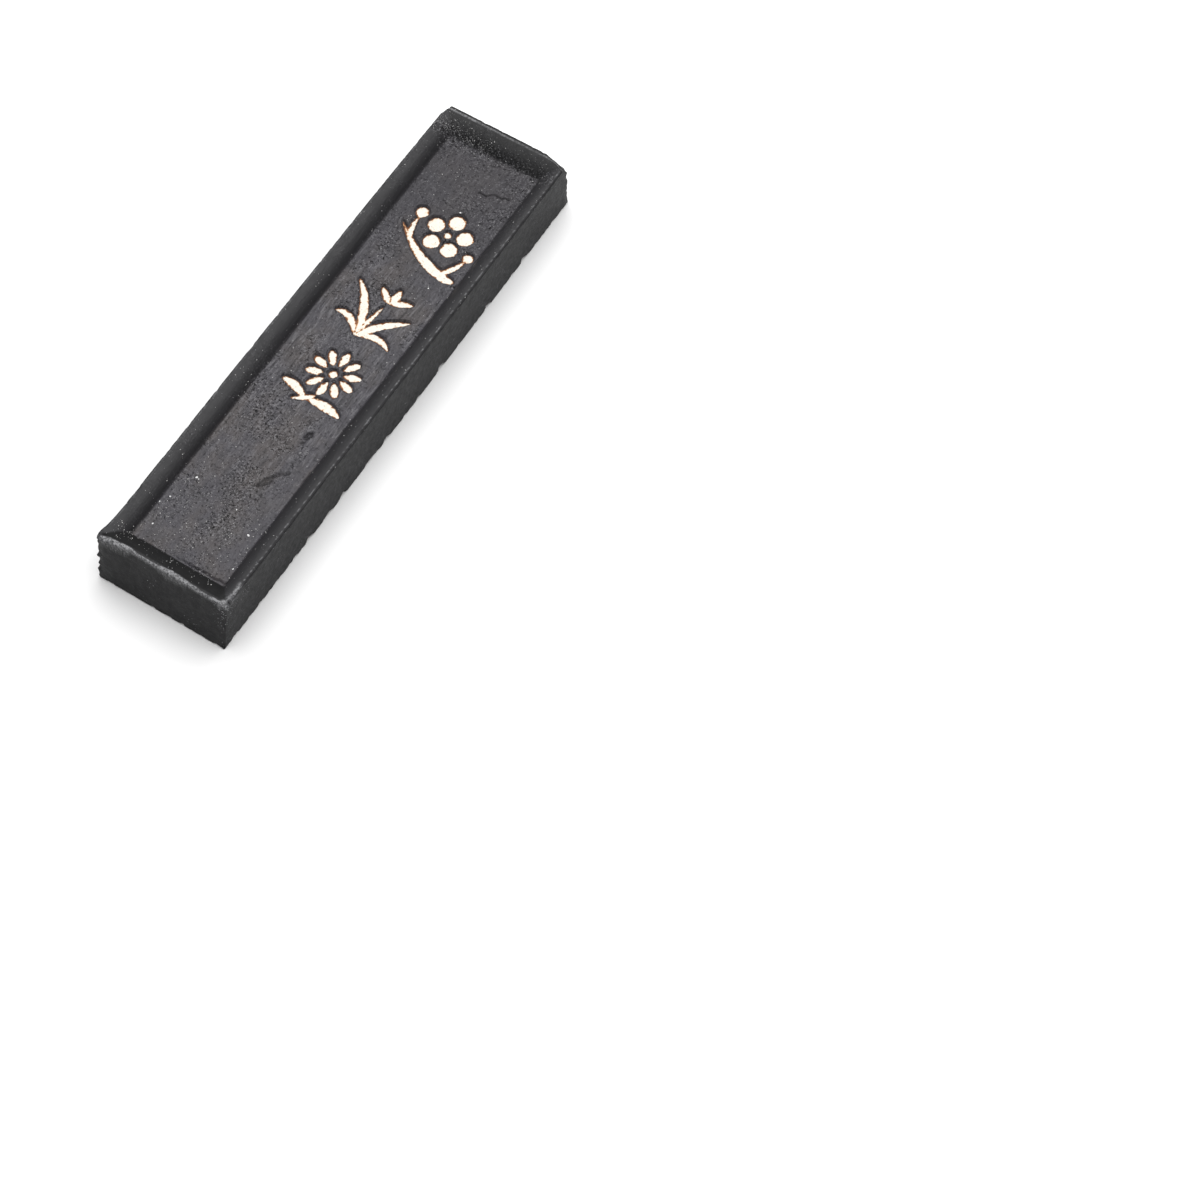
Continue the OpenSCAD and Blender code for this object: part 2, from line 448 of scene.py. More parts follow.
def plumParts():
    middles = ringOf(plum["flower"], plum["petals"], plum["petalOut"])
    petals = [(x, y, plum["petalRadius"]) for x, y in middles]
    return {
        "plum_petal_gilding": discsOf([], petals),
        "plum_heart_gilding": discsOf([], [(*plum["flower"], plum["heart"])]),
        "plum_twig_gilding": discsOf(plum["twigs"], plum["buds"]),
    }


def orchidParts():
    fx, fy = orchid["flower"]
    leaves = [(orchid["root"], bend, end, width, fullness) for bend, end, width, fullness in orchid["leaves"]]
    petals = [((fx, fy), (fx + b[0], fy + b[1]), (fx + e[0], fy + e[1]), width, 1.0)
              for b, e, width in orchid["petals"]]
    return {
        "orchid_leaf_gilding": discsOf(leaves, []),
        "orchid_flower_gilding": discsOf(petals, []),
    }


def chrysanthemumParts():
    inner = ringOf(chrysanthemum["flower"], chrysanthemum["petals"], chrysanthemum["petalIn"])
    outer = ringOf(chrysanthemum["flower"], chrysanthemum["petals"], chrysanthemum["petalOut"])
    petals = [(a, ((a[0] + b[0]) / 2, (a[1] + b[1]) / 2), b, chrysanthemum["petalWidth"],
               chrysanthemum["petalFullness"]) for a, b in zip(inner, outer)]
    return {
        "chrysanthemum_petal_gilding": discsOf(petals, []),
        "chrysanthemum_heart_gilding": discsOf([], [(*chrysanthemum["flower"], chrysanthemum["heart"])]),
        "chrysanthemum_stem_gilding": discsOf(chrysanthemum["stems"], []),
    }


def placed(discs, node):
    # moves an outline so that its middle is the middle of its CAD film
    lowest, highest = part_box(node)
    middle = (discs[:, :2] - discs[:, 2:]).min(0) / 2 + (discs[:, :2] + discs[:, 2:]).max(0) / 2
    target = np.array([(lowest.x + highest.x) / 2, (lowest.y + highest.y) / 2]) / mm
    moved = discs.copy()
    moved[:, :2] += target - middle
    return moved


def outside(xy, discs):
    # distance from each point to the outline, below nought inside it
    best = np.full(len(xy), 99.0)
    for x, y, r in discs:
        best = np.minimum(best, np.hypot(xy[:, 0] - x, xy[:, 1] - y) - r)
    return best


ornaments = {}
for parts in (plumParts(), orchidParts(), chrysanthemumParts()):
    for node, discs in parts.items():
        ornaments[node] = placed(discs, node)

recess = {
    "wall": 0.12,         # how much plan width the moulded walls take
    "ragged": 0.1,        # how far the outline wanders
    "lip": 0.05,          # slight swelling of the panel round a recess
}


def topWithin(spots, lowX, lowY, highX, highY):
    x, y = spots[:, 0], spots[:, 1]
    return np.nonzero((x > lowX) & (x < highX) & (y > lowY) & (y < highY) & onTop)[0]


def carveRecesses():
    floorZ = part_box("plum_petal_gilding")[0].z / mm
    for discs in ornaments.values():
        lowX, lowY = (discs[:, :2] - discs[:, 2:]).min(0) - 1
        highX, highY = (discs[:, :2] + discs[:, 2:]).max(0) + 1
        chosen = topWithin(rest, lowX, lowY, highX, highY)
        xy = points[chosen][:, :2]
        away = outside(xy, discs) + recess["ragged"] * rough(np.c_[xy, xy[:, :1] * 0], 0.6, 3)
        sunk = 1 - smoothStep(away, -recess["wall"] * 0.75, recess["wall"] * 0.25)
        swell = recess["lip"] * hump((away - 0.3) / 0.22)
        points[chosen, 2] += swell
        points[chosen, 2] += sunk * (floorZ - 0.03 - points[chosen, 2])


print("ink stick: carving the recesses")
carveRecesses()


# Marks of pressing, drying and handling.

def gougeBall(centre, radius):
    # a ball bites into an edge
    offset = points - np.array(centre)
    reach = np.linalg.norm(offset, axis=1)
    chosen = np.nonzero(reach < radius)[0]
    if len(chosen):
        wobble = 1 + 0.12 * rough(points[chosen], 0.5, 7)
        outwards = offset[chosen] / reach[chosen, None]
        points[chosen] = np.array(centre) + outwards * (radius * wobble)[:, None]


def cutPlane(place, normal, roughness, seed):
    # takes off what stands outside a plane, leaving a broken face
    normal = np.array(normal) / np.linalg.norm(normal)
    over = (points - np.array(place)) @ normal
    chosen = np.nonzero(over > -0.3)[0]
    if len(chosen):
        grit = over[chosen] + roughness * rough(points[chosen], 0.45, seed)
        points[chosen] -= np.maximum(grit, 0)[:, None] * normal


halfW, halfL, topZ = cake["width"] / 2, cake["length"] / 2, cake["height"]
damage = {
    "planes": [  # place, outward normal, roughness
        ((7.5, 45.6, topZ), (0.29, 0.75, 0.6), 0.12),
        ((-halfW + 0.9, halfL - 1.9, topZ), (-0.9, 0.3, 0.35), 0.12),
        ((-halfW + 2.0, -halfL + 2.2, topZ), (-0.12, -0.35, 0.93), 0.1),
        ((-halfW + 0.1, -halfL + 0.5, topZ - 1.1), (-0.7, -0.5, 0.5), 0.12),
        ((halfW - 0.3, -halfL + 2.9, topZ), (0.75, -0.35, 0.9), 0.2),
    ],
    "gouges": [  # middle, radius
        ((-halfW - 0.1, 32.0, topZ + 0.1), 0.6),
        ((halfW - 0.4, -halfL - 0.1, 0.9), 0.7),
        ((3.2, -halfL - 0.25, -0.1), 0.8),
        ((-4.0, halfL - 0.1, topZ + 0.3), 0.8),
        ((-2.5, halfL - 0.1, topZ + 0.45), 0.8),
    ],
    "splay": 0.6,         # how far the near left corner bulges out of true
    "forward": 0.8,       # and how far its top leans forward
    "jagged": [  # side, end, depth, seed of an upright edge that has crumbled
        (-1, -1, 0.3, 3),
        (1, 1, 0.13, 5),
        (1, -1, 0.1, 7),
    ],
    "footBites": {"count": 26, "from": -42.0, "to": 45.0, "radius": (0.7, 1.7), "seed": 11},
}


def wearAndTear():
    bulge = np.clip((-rest[:, 0] - 6) / (halfW - 6), 0, 1) * hump((rest[:, 1] + halfL) / 3)
    points[:, 0] -= damage["splay"] * bulge
    points[:, 1] -= damage["forward"] * bulge * rest[:, 2] / topZ
    for k, (place, normal, roughness) in enumerate(damage["planes"]):
        cutPlane(place, normal, roughness, 20 + k)
    for middle, radius in damage["gouges"]:
        gougeBall(middle, radius)
    for side, end, depth, seed in damage["jagged"]:
        away = np.hypot(rest[:, 0] - side * halfW, rest[:, 1] - end * halfL)
        chosen = np.nonzero(away < 1.3)[0]
        teeth = np.abs(rough(np.c_[rest[chosen, 2:] * 0, rest[chosen, 2:] * 0, rest[chosen, 2:]], 1.1, seed))
        push = depth * smoothStep(-away[chosen], -1.3, 0) * np.clip(teeth * 3.2, 0, 1)
        push *= smoothStep(rest[chosen, 2], 0.2, 1.2)
        points[chosen, 0] -= side * push
        points[chosen, 1] -= end * push
    bites = damage["footBites"]
    rng = np.random.default_rng(bites["seed"])
    for k in range(bites["count"]):
        side = 1 if k % 3 else -1
        y = bites["from"] + (bites["to"] - bites["from"]) * (k + rng.uniform(-0.4, 0.4)) / bites["count"]
        radius = rng.uniform(*bites["radius"])
        gougeBall((side * (halfW - 0.3 + radius * 0.45), y, -radius * rng.uniform(0.1, 0.45)), radius)


# Scratches and cracks run along short chains of points on the panel.
panelMarks = [  # x and y of each point, half the width, depth, in mm
    ([(1.4, 35.7), (2.8, 35.7), (3.6, 36.6), (4.8, 36.5), (6.1, 36.9)], 0.1, 0.22),
    ([(3.2, 27.4), (3.9, 27.1), (4.5, 27.0)], 0.12, 0.3),
    ([(2.5, -25.1), (2.9, -23.4), (3.9, -22.2)], 0.16, 0.2),
    ([(2.5, -25.1), (3.75, -23.9), (3.9, -22.2)], 0.16, 0.2),
    ([(3.0, -24.3), (3.6, -23.0)], 0.12, 0.12),
    ([(4.1, -21.8), (4.7, -21.3), (5.3, -20.9)], 0.22, 0.16),
    ([(5.3, -20.9), (6.2, -19.9)], 0.16, 0.03),
    ([(3.7, -14.5), (3.9, -13.7), (4.3, -13.2)], 0.15, 0.3),
    ([(4.0, -14.7), (4.5, -14.1), (4.3, -13.2)], 0.15, 0.3),
    ([(3.9, -15.6), (4.1, -15.3)], 0.15, 0.25),
    ([(3.6, -36.5), (4.4, -36.9)], 0.13, 0.12),
    ([(2.2, -37.6), (2.9, -38.2), (3.9, -38.4)], 0.13, 0.06),
]
bruised = np.zeros(len(points))              # painted shade: how dark the hollow of such marks is painted at each point
# how far in from the panel's outline each point is
inward = np.minimum(halfW - cake["sideBorder"] - np.abs(rest[:, 0]),
                    halfL - cake["endBorder"] - np.abs(rest[:, 1]))


def offPath(spots, path):
    # distance in plan from each point to a chain of straight stretches
    path = np.array(path)
    best = np.full(len(spots), 9.0)
    for a, b in zip(path[:-1], path[1:]):
        t = np.clip(((spots[:, :2] - a) @ (b - a)) / ((b - a) @ (b - a)), 0, 1)
        best = np.minimum(best, np.linalg.norm(spots[:, :2] - a - t[:, None] * (b - a), axis=1))
    return best


def markPanel():
    for path, halfWidth, depth in panelMarks:
        path = np.array(path)
        lowX, lowY = path.min(0) - 1
        highX, highY = path.max(0) + 1
        chosen = topWithin(points, lowX, lowY, highX, highY)
        xy = points[chosen][:, :2]
        flat = np.c_[xy, xy[:, :1] * 0]
        xy = xy + 0.16 * np.c_[rough(flat, 0.5, 31), rough(flat, 0.5, 32)]
        hollow = hump(offPath(xy, path) / halfWidth)
        points[chosen, 2] -= depth * hollow
        # painted shade: each mark's hollow is darkened, the more the deeper it is
        bruised[chosen] = np.maximum(bruised[chosen], hollow * min(1, 0.15 + 3.4 * depth))


def panelTexture():
    # drawn-out grain along the panel, pits, and a crumbly strip at its near edge
    chosen = np.nonzero(onTop & (inward > -0.6))[0]
    here = rest[chosen]
    grain = rough(here * [2.4, 0.16, 1], 1.0, 41)
    middle = hump((here[:, 1] - 3) / 22)
    points[chosen, 2] += 0.022 * grain * (0.35 + middle)
    pits = rough(here, 0.33, 42)
    points[chosen, 2] -= 0.16 * np.maximum(pits - 0.42, 0) * (1.2 - 0.7 * middle)
    fromFoot = here[:, 1] + halfL - cake["endBorder"]
    nearEdge = hump((fromFoot - 0.35) / 0.4)
    crumbs = rough(here * [0.7, 1.4, 1], 0.55, 43)
    reach = 0.55 + 0.35 * rough(here * [1, 0, 1], 1.6, 44)
    step = smoothStep(-fromFoot, -reach - 0.12, -reach + 0.12) * smoothStep(here[:, 0], -3, 2)
    points[chosen, 2] += nearEdge * (0.12 * crumbs - 0.03) - 0.3 * step * (fromFoot > -0.4)


print("ink stick: marks and wear")
panelTexture()
markPanel()
wearAndTear()


chalk = {
    "places": [-11, -9, -6.5, -5.5, -2, -1, 1, 3.5, 5, 8, 10.5],          # along the near rim
    "widths": [0.7, 1.0, 0.85, 0.45, 0.35, 0.6, 0.95, 0.75, 0.4, 0.35, 0.6],  # how far in it is worn
    "thread": 0.42,       # how far in the right rim's thin pale line, a painted highlight, runs
    "scar": [(9.9, -45.2), (10.5, -44.3), (10.8, -42.9), (10.7, -41.0)],  # x, y
    "spur": [(10.5, -44.3), (11.0, -44.9)],
}


def chalkAndHighlightPaint():
    # how pale each point is: chalky wear, strong on the near rim, and thin broken lines of painted highlight
    # along the ridges of the other rims
    x, y, z = points.T
    height = smoothStep(z, topZ - 0.8, topZ - 0.25)
    fromNear = np.abs(rest[:, 1] + halfL)
    fromFar = np.abs(rest[:, 1] - halfL)
    fromRight = np.abs(rest[:, 0] - halfW)
    fromLeft = np.abs(rest[:, 0] + halfW)
    broken = 0.5 + rough(points, 1.7, 51)
    fine = 0.5 + 0.8 * rough(points, 0.45, 52)
    nearWidth = np.interp(x, chalk["places"], chalk["widths"]) + 0.2 * rough(points, 0.9, 53)
    near = smoothStep(-fromNear / np.maximum(nearWidth, 0.1), -1, -0.75) * np.clip(broken + 0.75, 0, 1)
    # painted highlight: a thin broken pale line along the far rim's ridge
    farHighlight = smoothStep(-np.abs(fromFar - 0.68), -0.24, -0.08) * np.clip(broken + 0.5, 0, 1) * 0.8
    farHighlight *= 0.6 + 0.4 * smoothStep(np.abs(x - 2), 2, 7)
    # painted highlight: a dashed pale line along the right rim
    thread = chalk["thread"]
    fromThread = np.abs(fromRight - thread - 0.1 * rough(rest * [0, 1, 0], 6.0, 54))
    dashes = 5.0 * rough(rest * [0, 1, 0], 0.6, 55)
    rightHighlight = smoothStep(-fromThread, -0.13, -0.03) * np.clip(broken - 0.5 + dashes, 0, 1) * 0.55
    # painted highlight: a faint pale line along the left rim's ridge
    leftHighlight = smoothStep(-np.abs(fromLeft - 0.3), -0.26, -0.1) * np.clip(broken, 0, 1) * 0.35
    wearAndHighlight = height * np.maximum.reduce([near, farHighlight, rightHighlight, leftHighlight]) * np.clip(0.45 + fine, 0, 1)
    scar = hump(np.minimum(offPath(points, chalk["scar"]), offPath(points, chalk["spur"])) / 0.3)
    corner = 0.32 * np.exp(-((x - halfW) ** 2 / 1.2 + (y + halfL - 2.2) ** 2 / 3.0))
    corner = np.maximum(corner, 1.1 * scar) * smoothStep(z, topZ - 1.8, topZ - 0.7)
    streaks = 0.55 + 1.1 * rough(np.c_[x * 1.6 + z * 1.2, x * 0, x * 0], 0.45, 56)
    face = (fromNear < 0.01) * smoothStep(z, topZ - 2.6 * nearWidth, topZ - 0.6 * nearWidth)
    scuffs = face * np.clip(streaks, 0, 1) * np.clip((nearWidth - 0.4) * 3, 0, 1)
    return np.clip(np.maximum.reduce([wearAndHighlight, scuffs * 0.8, corner * np.clip(fine + 0.25, 0, 1)]), 0, 1)


def dustyPaint():
    # where dust has settled: in the hollow of the border, thickest at the far left corner
    x, y = rest[:, 0], rest[:, 1]
    dust = 0.10 + 0 * x
    dust += 1.5 * np.exp(-((x + halfW - 3.5) ** 2 / 14 + (y - halfL + 3.4) ** 2 / 3))
    dust += 0.7 * hump((y - halfL + 3.2) / 1.1)
    dust += 1.0 * np.exp(-((x + halfW - 2.4) ** 2 + (y + halfL - 3.2) ** 2) / 2.5)
    dust += 0.35 * hump((y + halfL - 12) / 9) * (x > -halfW + 3) * (x < halfW - 3)
    return dust * onTop


def coarsePaint():
    # how open the grain is: closed on the border and along the panel's right edge
    x, y = rest[:, 0], rest[:, 1]
    grown = 0.16 + 0.85 * hump((x - 1.5) / 4, (y + 30) / 7)
    grown += 0.45 * hump((x + 1) / 5, (y + 14) / 6) + 0.15 * hump((y - 34) / 7)
    grown += 0.8 * rough(rest * [1, 0.7, 1], 3.0, 71) + 0.5 * rough(rest, 1.3, 72)
    grown *= 1 - 0.8 * smoothStep(x, 5.4, 6.4) * smoothStep(-y, -4, 2)
    grown *= 1 - 0.75 * hump((x + 4.5) / 4, (y - 36) / 7)
    farFoot = hump((y - halfL + cake["endBorder"] + 0.1) / 1.5)
    farFoot *= 0.55 + 0.45 * smoothStep(-x, -4, 8)
    panelPart = np.clip(grown, 0.06, 1.25) * (0.25 + 0.75 * smoothStep(inward, -0.4, 0.2))
    return np.maximum(panelPart, 0.95 * farFoot) * onTop


def speckledPaint():
    # pale specks gather on the sides by the near right edge
    away = (points[:, 0] - halfW) ** 2 + (points[:, 1] + halfL) ** 2
    return np.exp(-away / 20) * (0.25 + 0.55 * smoothStep(points[:, 2], 2, 7))


def finishCake():
    points[:, 0] = np.clip(points[:, 0], -halfW - damage["splay"], halfW)
    points[:, 1] = np.clip(points[:, 1], -halfL, halfL)
    points[:, 2] = np.clip(points[:, 2], 0, topZ)
    writePoints(inkCake, points * mm)
    fromSide = halfW - np.abs(rest[:, 0])
    fromEnd = (halfL - np.abs(rest[:, 1])) * cake["sideBorder"] / cake["endBorder"]
    # painted light and shade: the end bands take a darker ink than the side bands
    endBand = smoothStep(fromSide - fromEnd, -0.15, 0.15)
    # painted shade over the near end band
    nearBandShade = endBand * smoothStep(fromEnd, 0.5, 0.8) * (rest[:, 1] < 0) * (fromEnd < cake["sideBorder"])
    # painted shade: a dark line along the rounded outer edge of the right rim
    thread = smoothStep(-np.abs(halfW - rest[:, 0] - 0.2), -0.1, -0.03)
    layers = {
        # chalky wear on the near rim and painted highlights along the other rims
        "worn": chalkAndHighlightPaint(),
        "dusty": dustyPaint(),
        "panel": smoothStep(inward, -0.25, 0.15) * onTop,
        "coarse": coarsePaint(),
        "endBand": endBand,
        # painted shade in the marks' hollows, on the right rim's outer edge and over the near end band
        "bruised": np.maximum.reduce([bruised, 0.55 * thread * onTop, 0.8 * nearBandShade * onTop]),
        "speckled": speckledPaint(),
    }
    for name, values in layers.items():
        paint(inkCake, name, values)
    inkCake.data.shade_smooth()


# Materials.

def newMaterial(name):
    material = bpy.data.materials.new(name)
    material.use_nodes = True
    material.node_tree.nodes.clear()
    add, calc = nodeTools(material.node_tree)
    return material, add, calc


def textureTools(add):
    spot = add("ShaderNodeTexCoord").outputs["Object"]

    def mapped(stretch=(1.0, 1.0, 1.0)):
        # Object coordinates in millimetres, drawn out by the stretch
        scale = tuple(s / mm for s in stretch)
        return add("ShaderNodeMapping", named={"Vector": spot, "Scale": scale}).outputs[0]

    def grain(size, stretch=(1.0, 1.0, 1.0), detail=3.0, roughness=0.6):
        return add("ShaderNodeTexNoise", named={"Vector": mapped(stretch), "Scale": 1.0 / size,
                   "Detail": detail, "Roughness": roughness}).outputs[0]

    def remap(value, fromLow, fromHigh, toLow=0.0, toHigh=1.0):
        node = add("ShaderNodeMapRange", interpolation_type="SMOOTHSTEP",
                   named={"Value": value, "From Min": fromLow, "From Max": fromHigh,
                          "To Min": toLow, "To Max": toHigh})
        return node.outputs[0]

    def mixColour(amount, first, second):
        node = add("ShaderNodeMix", data_type="RGBA")
        for socket, value in ((node.inputs[0], amount), (node.inputs[6], first), (node.inputs[7], second)):
            if isinstance(value, bpy.types.NodeSocket):
                node.id_data.links.new(value, socket)
            else:
                socket.default_value = value
        return node.outputs[2]

    def layer(name):
        return add("ShaderNodeAttribute", attribute_name=name).outputs["Fac"]

    return mapped, grain, remap, mixColour, layer


def surface(add, colour, roughness, relief=None, **sockets):
    # the shader that ends each material; relief is height, strength and depth in mm
    named = {"Base Color": colour, "Roughness": roughness}
    if relief:
        height, strength, depth = relief
        bump = add("ShaderNodeBump", named={"Strength": strength, "Distance": depth * mm, "Height": height})
        named["Normal"] = bump.outputs[0]
    for name, value in sockets.items():
        named[{"specular": "Specular IOR Level", "metallic": "Metallic"}[name]] = value
    shader = add("ShaderNodeBsdfPrincipled", named=named)
    add("ShaderNodeOutputMaterial", shader.outputs[0])


inkLook = {
    # painted light and shade: a lighter ink for the side bands, a darker one for the end bands
    "litSideBand": (0.019, 0.0185, 0.0205, 1),
    "endBand": (0.005, 0.005, 0.0056, 1),
    "panel": (0.041, 0.0385, 0.0462, 1),
    "brown": (0.053, 0.0455, 0.0455, 1),
    "dim": (0.028, 0.0265, 0.0312, 1),
    "pale": (0.19, 0.185, 0.195, 1),
    "pit": (0.0015, 0.0015, 0.0018, 1),
    "chalk": (0.29, 0.29, 0.30, 1),
    "gloss": 0.44,        # roughness of the panel, pressed against the mould's face
    "matt": 0.52,         # roughness of the border
    "dull": 0.12,         # how much rougher the panel is at its far end
    "specular": 0.3,
    "relief": (0.8, 0.12),  # strength and depth of the bump, in mm
}
rawLook = {
    "body": (0.010, 0.010, 0.011, 1),
    "worn": (0.017, 0.0168, 0.018, 1),
    "speck": (0.24, 0.24, 0.25, 1),
    "chalk": (0.29, 0.29, 0.30, 1),
    "roughness": 0.6,
    "specular": 0.2,
    "relief": (0.6, 0.1),
}


def chalkAndHighlightCover(calc, grain, remap, layer):
    # how much pale colour shows: chalk where the ink is worn, and the painted highlights along the rims
    return calc("*", layer("worn"), remap(grain(0.3, detail=4.0, roughness=0.8), 0.38, 0.6, 0.14, 1.1))


def inkMaterial():
    material, add, calc = newMaterial("pressedInk")
    mapped, grain, remap, mixColour, layer = textureTools(add)
    panel = layer("panel")
    along = add("ShaderNodeSeparateXYZ", mapped()).outputs[1]
    tone = mixColour(remap(grain(6.0, (1.0, 0.6, 1.0)), 0.40, 0.64), inkLook["panel"], inkLook["brown"])
    tone = mixColour(remap(grain(3.6, detail=4.0), 0.46, 0.68, 0.0, 0.55), tone, inkLook["dim"])
    tone = mixColour(remap(along, 8.0, 34.0, 0.0, 0.75), tone, inkLook["dim"])
    # painted light and shade: the end bands are coloured darker and the side bands lighter
    colour = mixColour(layer("endBand"), inkLook["litSideBand"], inkLook["endBand"])
    colour = mixColour(panel, colour, tone)
    coarse = layer("coarse")
    streaks = grain(0.36, (1.0, 0.16, 1.0), 4.0, 0.65)
    mottle = grain(0.32, detail=2.0, roughness=0.75)
    crumbs = grain(0.42, detail=2.0, roughness=0.7)
    flecks = grain(0.26, detail=1.0)
    middle = calc("*", panel, remap(calc("ABSOLUTE", calc("+", along, 2.0)), 10.0, 30.0, 1.0, 0.35))
    openGrain = calc("+", calc("*", coarse, 0.7), calc("*", panel, 0.15))
    pits = calc("*", openGrain, remap(crumbs, 0.40, 0.34, 0.0, 1.6))
    # the painted shade is coloured like a pit and dulls the shine
    pits = calc("MINIMUM", calc("MAXIMUM", pits, layer("bruised")), 1.0)
    chalkAndHighlight = chalkAndHighlightCover(calc, grain, remap, layer)
    coats = [
        (calc("*", middle, remap(streaks, 0.50, 0.70, 0.0, 0.4)), "pale"),
        (calc("*", middle, remap(streaks, 0.46, 0.32, 0.0, 0.75)), "pit"),
        (calc("*", coarse, remap(mottle, 0.52, 0.68, 0.0, 0.65)), "pale"),
        (calc("*", coarse, remap(mottle, 0.48, 0.36, 0.0, 1.0)), "pit"),
        (calc("*", openGrain, remap(flecks, 0.64, 0.70, 0.0, 1.2)), "pale"),
        (pits, "pit"),
        (chalkAndHighlight, "chalk"),
    ]
    for amount, coat in coats:
        colour = mixColour(amount, colour, inkLook[coat])
    gloss = remap(panel, 0.0, 1.0, inkLook["matt"], inkLook["gloss"])
    gloss = calc("+", gloss, calc("*", panel, remap(along, 5.0, 35.0, 0.0, inkLook["dull"])),
                 remap(grain(1.4), 0.3, 0.7, -0.05, 0.05), calc("*", calc("MAXIMUM", chalkAndHighlight, pits), 0.3))
    height = calc("+", calc("*", streaks, 0.7), calc("*", calc("*", mottle, coarse), 1.6))
    height = calc("-", height, calc("*", pits, 0.9))
    surface(add, colour, gloss, (height, *inkLook["relief"]), specular=inkLook["specular"])
    return material


def rawInkMaterial():
    # the sides and the underside, which dry against wood and air
    material, add, calc = newMaterial("rawInk")
    _, grain, remap, mixColour, layer = textureTools(add)
    colour = mixColour(remap(grain(2.6, detail=4.0), 0.42, 0.72), rawLook["body"], rawLook["worn"])
    speckle = grain(0.24, detail=1.0)
    clustered = remap(grain(4.5), 0.5, 0.7, -0.13, 0.0)
    speckled = calc("+", clustered, calc("*", layer("speckled"), 0.18))
    colour = mixColour(remap(calc("+", speckle, speckled), 0.65, 0.72), colour, rawLook["speck"])
    colour = mixColour(chalkAndHighlightCover(calc, grain, remap, layer), colour, rawLook["chalk"])
    gloss = calc("+", remap(grain(0.9), 0.3, 0.7, -0.06, 0.06), rawLook["roughness"])
    height = calc("+", grain(0.5, detail=4.0, roughness=0.7), calc("*", speckle, 0.5))
    surface(add, colour, gloss, (height, *rawLook["relief"]), specular=rawLook["specular"])
    return material


goldLook = {
    "leaf": (0.66, 0.62, 0.55, 1),
    "deep": (0.52, 0.27, 0.10, 1),
    "edge": (0.17, 0.06, 0.02, 1),
    "bare": (0.05, 0.035, 0.03, 1),
    "metallic": 0.25,
    "roughness": 0.46,
    "relief": (0.4, 0.04),
}


def goldMaterial():
    material, add, calc = newMaterial("paleGold")
    _, grain, remap, mixColour, layer = textureTools(add)
    thin = layer("thin")
    brushed = grain(0.5, (1.0, 0.5, 1.0), 3.0)
    colour = mixColour(remap(brushed, 0.54, 0.8, 0.0, 0.4), goldLook["leaf"], goldLook["deep"])
    rag = calc("+", thin, remap(grain(0.5, detail=4.0), 0.3, 0.7, -0.35, 0.35))
    colour = mixColour(remap(rag, 0.25, 0.55), colour, goldLook["deep"])
    colour = mixColour(remap(rag, 0.46, 0.7), colour, goldLook["edge"])
    colour = mixColour(remap(grain(0.26, detail=2.0), 0.64, 0.72, 0.0, 0.8), colour, goldLook["bare"])
    gloss = calc("+", remap(grain(0.2), 0.3, 0.7, -0.08, 0.1), goldLook["roughness"])
    height = calc("+", brushed, calc("*", grain(0.1, detail=1.0), 0.4))
    surface(add, colour, gloss, (height, *goldLook["relief"]), metallic=goldLook["metallic"])
    return material


def mottledMaterial(name, size, spread, dark, light, roughness, **sockets):
    # two colours in soft patches: dust, and the floor
    material, add, _ = newMaterial(name)
    _, grain, remap, mixColour, _ = textureTools(add)
    colour = mixColour(remap(grain(size), 0.5 - spread, 0.5 + spread), dark, light)
    surface(add, colour, roughness, **sockets)
    return material


print("ink stick: materials")
ink = inkMaterial()
gold = goldMaterial()
finishCake()
inkCake.data.materials.clear()
inkCake.data.materials.append(ink)
inkCake.data.materials.append(rawInkMaterial())
inkCake.data.polygons.foreach_set("material_index", [0] * topFaces + [1] * (len(faces) - topFaces))
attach(inkCake, "root")
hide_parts("ink_cake")
print("ink stick: cake has", sum(len(face.vertices) - 2 for face in inkCake.data.polygons), "triangles")


# The gold: a film with the recess's own outline, pooled in the middle.

film = {
    "step": 0.1,          # how finely its outline is followed
    "margin": 0.03,       # bare margin inside the recess wall
    "ragged": 0.14,       # how far its edge wanders
    "shift": (0.08, -0.04),  # the brush laid it against this side of each recess
    "sink": 0.04,         # how far its underside beds into the floor
    "rise": 0.28,         # plan width over which it thickens from its edge
    "streak": 0.02,       # brush marks
}


